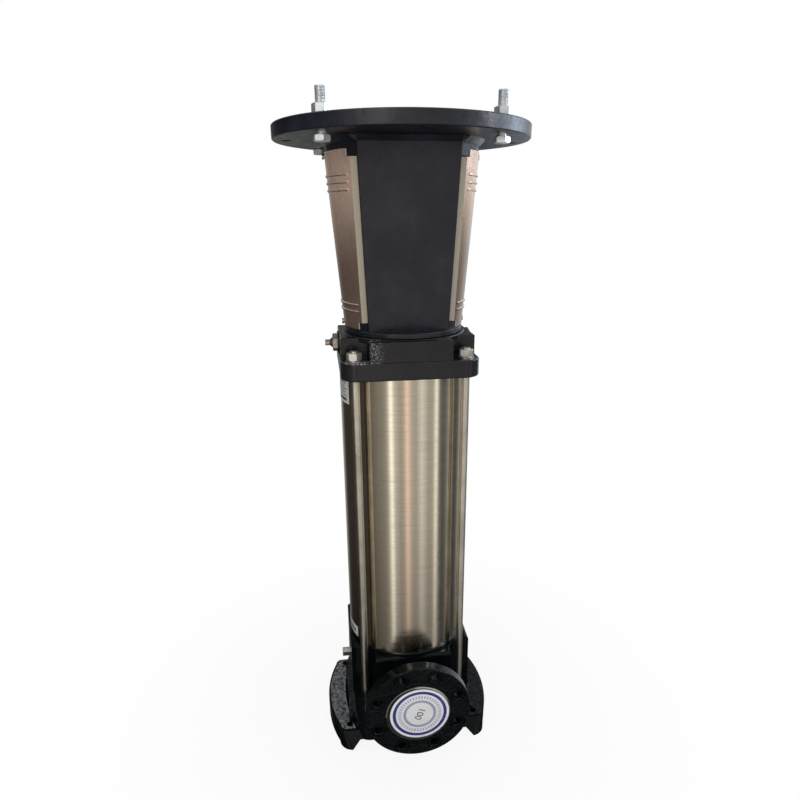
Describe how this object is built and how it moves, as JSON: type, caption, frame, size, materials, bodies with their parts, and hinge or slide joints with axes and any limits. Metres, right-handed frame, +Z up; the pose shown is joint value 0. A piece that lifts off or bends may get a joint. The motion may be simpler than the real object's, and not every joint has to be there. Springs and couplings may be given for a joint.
{
  "type": "vertical multistage pump",
  "caption": "Vertical multistage centrifugal pump without motor: footed base with two opposed flanged ports, steel sleeve, stay bolts, head, and motor stool with guards.",
  "frame": {"origin": "middle of the feet's bearing face, on the shaft axis", "axes": "+Z up along the shaft towards the motor flange, -Y out of the inlet port, +Y out of the outlet port, +X to the right when the inlet faces the viewer"},
  "size_m": [0.45, 0.45, 1.2995],
  "materials": {
    "base_paint": "gloss black paint over rough casting",
    "head_paint": "semi-gloss black paint over casting",
    "stool_paint": "satin black paint over casting",
    "cover_plastic": "moulded black plastic",
    "plug_steel": "turned stainless steel",
    "vent_steel": "turned stainless steel",
    "sleeve_steel": "stainless steel brushed lengthwise",
    "seal_rubber": "black rubber",
    "stay_steel": "drawn steel rod",
    "washer_steel": "plain",
    "nut_zinc": "zinc plated",
    "bolt_zinc": "zinc plated",
    "guard_steel": "stainless sheet, satin",
    "guard_screw_steel": "plain",
    "stage_steel": "pressed stainless sheet",
    "impeller_steel": "welded stainless sheet",
    "bearing_carbon": "carbide ring",
    "shaft_steel": "ground",
    "gland_iron": "machined casting",
    "seat_carbon": "carbon ring",
    "seal_head_steel": "turned",
    "coupling_iron": "machined casting",
    "coupling_screw_steel": "black oxide"
  },
  "bodies": {
    "pump": {"base_casting": "base_paint", "blind_plug": "plug_steel", "discharge_piece": "stage_steel", "drain_plug": "plug_steel", "gland_screws": "nut_zinc", "guard_left": "guard_steel", "guard_right": "guard_steel", "guard_screws": "guard_screw_steel", "inlet_piece": "stage_steel", "motor_bolt_nuts": "nut_zinc", "motor_bolts": "bolt_zinc", "motor_stool": "stool_paint", "outer_sleeve": "sleeve_steel", "priming_plug": "plug_steel", "pump_head": "head_paint", "seal_gland": "gland_iron", "seal_seat": "seat_carbon", "shaft_bearings": "bearing_carbon", "sleeve_seals": "seal_rubber", "stage_chamber_1": "stage_steel", "stage_chamber_2": "stage_steel", "stage_chamber_3": "stage_steel", "stage_chamber_4": "stage_steel", "stage_chamber_5": "stage_steel", "stage_chamber_6": "stage_steel", "stay_bolt_nuts": "nut_zinc", "stay_bolt_washers": "washer_steel", "stay_bolts": "stay_steel", "stool_screws": "nut_zinc"},
    "rotor": {"pump_shaft": "shaft_steel", "shaft_end_nut": "shaft_steel", "shaft_spacers": "shaft_steel", "seal_head": "seal_head_steel", "coupling_half_left": "coupling_iron", "coupling_half_right": "coupling_iron", "coupling_screws": "coupling_screw_steel", "coupling_pin": "shaft_steel", "impeller_1": "impeller_steel", "impeller_2": "impeller_steel", "impeller_3": "impeller_steel", "impeller_4": "impeller_steel", "impeller_5": "impeller_steel", "impeller_6": "impeller_steel"},
    "vent": {"vent_screw": "vent_steel"},
    "inlet_cap": {"inlet_cover": "cover_plastic"},
    "outlet_cap": {"outlet_cover": "cover_plastic"}
  },
  "joints": [
    {"name": "rotor_spin", "type": "hinge", "parent": "pump", "child": "rotor", "pos_m": [0, 0, 0.5], "axis": [0, 0, 1], "continuous": true},
    {"name": "vent_turn", "type": "hinge", "parent": "pump", "child": "vent", "pos_m": [-0.14, 0, 0.881], "axis": [-1, 0, 0], "range_deg": [0, 540]},
    {"name": "inlet_cover_pull", "type": "slide", "parent": "pump", "child": "inlet_cap", "axis": [0, -1, 0], "range_m": [0, 0.05]},
    {"name": "outlet_cover_pull", "type": "slide", "parent": "pump", "child": "outlet_cap", "axis": [0, 1, 0], "range_m": [0, 0.05]}
  ]
}
